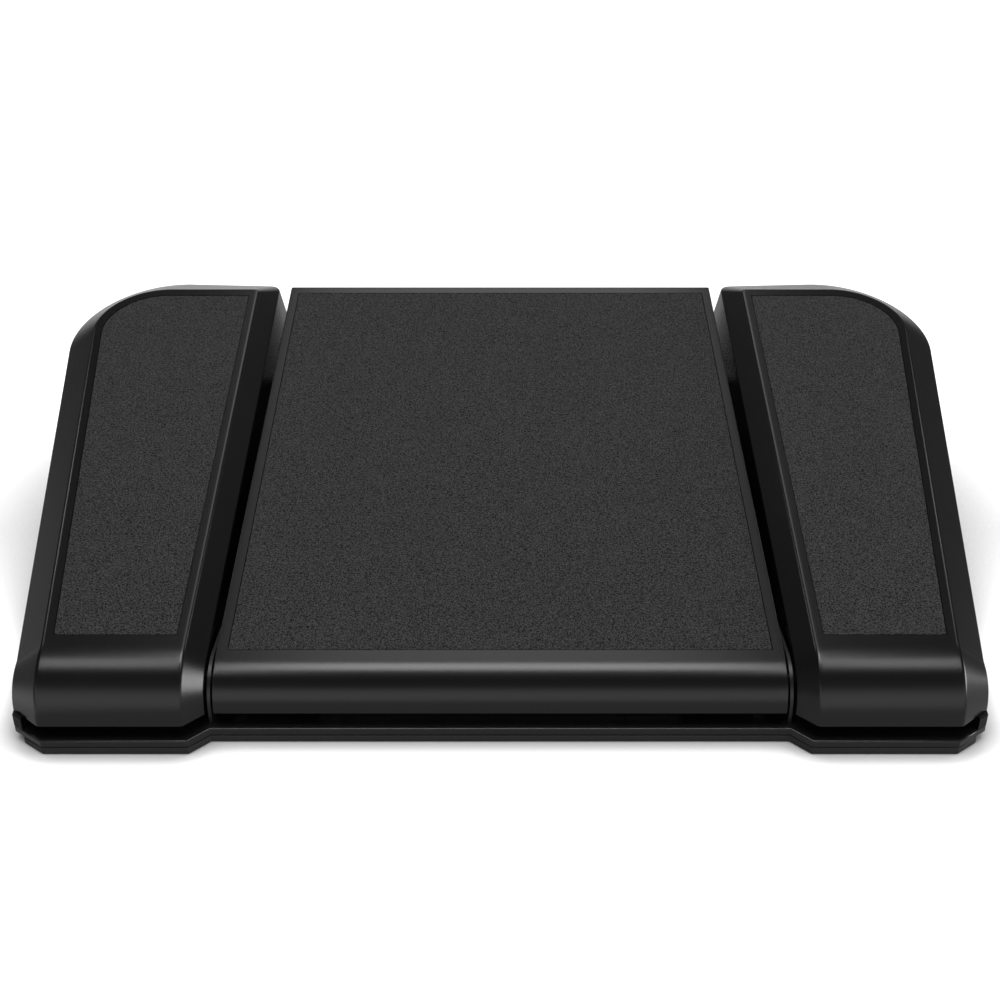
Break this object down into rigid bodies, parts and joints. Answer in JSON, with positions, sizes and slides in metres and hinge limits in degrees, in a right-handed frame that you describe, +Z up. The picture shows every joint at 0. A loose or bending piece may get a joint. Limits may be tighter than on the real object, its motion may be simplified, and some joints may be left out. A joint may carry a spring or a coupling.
{
  "type": "foot pedal switch",
  "caption": "Low wedge-shaped foot switch with a wide flat centre pedal between two bevelled side pedals, on a thin rubber-soled steel base.",
  "frame": {"origin": "middle of the footprint, on the floor", "axes": "+X towards the right pedal, +Y from the low heel end to the raised toe end, +Z up"},
  "size_m": [0.2416, 0.19, 0.0558],
  "materials": {
    "mat_rubber": "matte black moulded rubber",
    "base_steel": "black powder coat",
    "chassis_plastic": "fine moulded texture",
    "shell_plastic": "satin black moulding",
    "pad_rubber": "fine-grained black grip",
    "frame_plastic": "glass-filled, dull",
    "hinge_steel": "ground",
    "hinge_plate_steel": "black coat",
    "bush_plastic": "natural acetal",
    "spring_steel": "drawn wire",
    "bumper_rubber": "matte",
    "board_laminate": "solder resist",
    "switch_plastic": "moulded",
    "plunger_plastic": "natural",
    "socket_metal": "plated",
    "chip_resin": "moulded resin",
    "screw_steel": "zinc plated"
  },
  "bodies": {
    "base": {"rubber_mat": "mat_rubber", "base_plate": "base_steel", "chassis": "chassis_plastic", "left_hinge_plate": "hinge_plate_steel", "right_hinge_plate": "hinge_plate_steel", "hinge_shaft": "hinge_steel", "shaft_clips": "spring_steel", "bump_stops": "bumper_rubber", "main_board": "board_laminate", "left_switch": "switch_plastic", "centre_switch": "switch_plastic", "right_switch": "switch_plastic", "usb_socket": "socket_metal", "controller_chip": "chip_resin", "board_parts": "chip_resin", "left_spring": "spring_steel", "centre_spring_left": "spring_steel", "centre_spring_right": "spring_steel", "right_spring": "spring_steel", "board_screws": "screw_steel", "chassis_screws": "screw_steel", "hinge_plate_screws": "screw_steel"},
    "left_pedal": {"left_shell": "shell_plastic", "left_pad": "pad_rubber", "left_frame": "frame_plastic", "left_bushes": "bush_plastic", "left_frame_screws": "screw_steel"},
    "centre_pedal": {"centre_shell": "shell_plastic", "centre_pad": "pad_rubber", "centre_frame": "frame_plastic", "centre_bushes": "bush_plastic", "centre_frame_screws": "screw_steel"},
    "right_pedal": {"right_shell": "shell_plastic", "right_pad": "pad_rubber", "right_frame": "frame_plastic", "right_bushes": "bush_plastic", "right_frame_screws": "screw_steel"},
    "left_button": {"left_plunger": "plunger_plastic"},
    "centre_button": {"centre_plunger": "plunger_plastic"},
    "right_button": {"right_plunger": "plunger_plastic"}
  },
  "joints": [
    {"name": "left_pedal_hinge", "type": "hinge", "parent": "base", "child": "left_pedal", "pos_m": [-0.08, -0.0803, 0.0082], "axis": [-1, 0, 0], "range_deg": [0, 3], "stiffness_Nm_per_rad": 9, "springref_deg": -2.52, "deforming": ["left_spring"]},
    {"name": "left_button_press", "type": "slide", "parent": "base", "child": "left_button", "axis": [0, 0, -1], "range_m": [0, 0.00155]},
    {"name": "centre_pedal_hinge", "type": "hinge", "parent": "base", "child": "centre_pedal", "pos_m": [0, -0.0803, 0.0082], "axis": [-1, 0, 0], "range_deg": [0, 3], "stiffness_Nm_per_rad": 18, "springref_deg": -2.52, "deforming": ["centre_spring_left", "centre_spring_right"]},
    {"name": "centre_button_press", "type": "slide", "parent": "base", "child": "centre_button", "axis": [0, 0, -1], "range_m": [0, 0.00155]},
    {"name": "right_pedal_hinge", "type": "hinge", "parent": "base", "child": "right_pedal", "pos_m": [0.08, -0.0803, 0.0082], "axis": [-1, 0, 0], "range_deg": [0, 3], "stiffness_Nm_per_rad": 9, "springref_deg": -2.52, "deforming": ["right_spring"]},
    {"name": "right_button_press", "type": "slide", "parent": "base", "child": "right_button", "axis": [0, 0, -1], "range_m": [0, 0.00155]}
  ],
  "couplings": [
    {"joint": "left_button_press", "follows": "left_pedal_hinge", "m_per_rad": 0.0293},
    {"joint": "centre_button_press", "follows": "centre_pedal_hinge", "m_per_rad": 0.0293},
    {"joint": "right_button_press", "follows": "right_pedal_hinge", "m_per_rad": 0.0293}
  ]
}
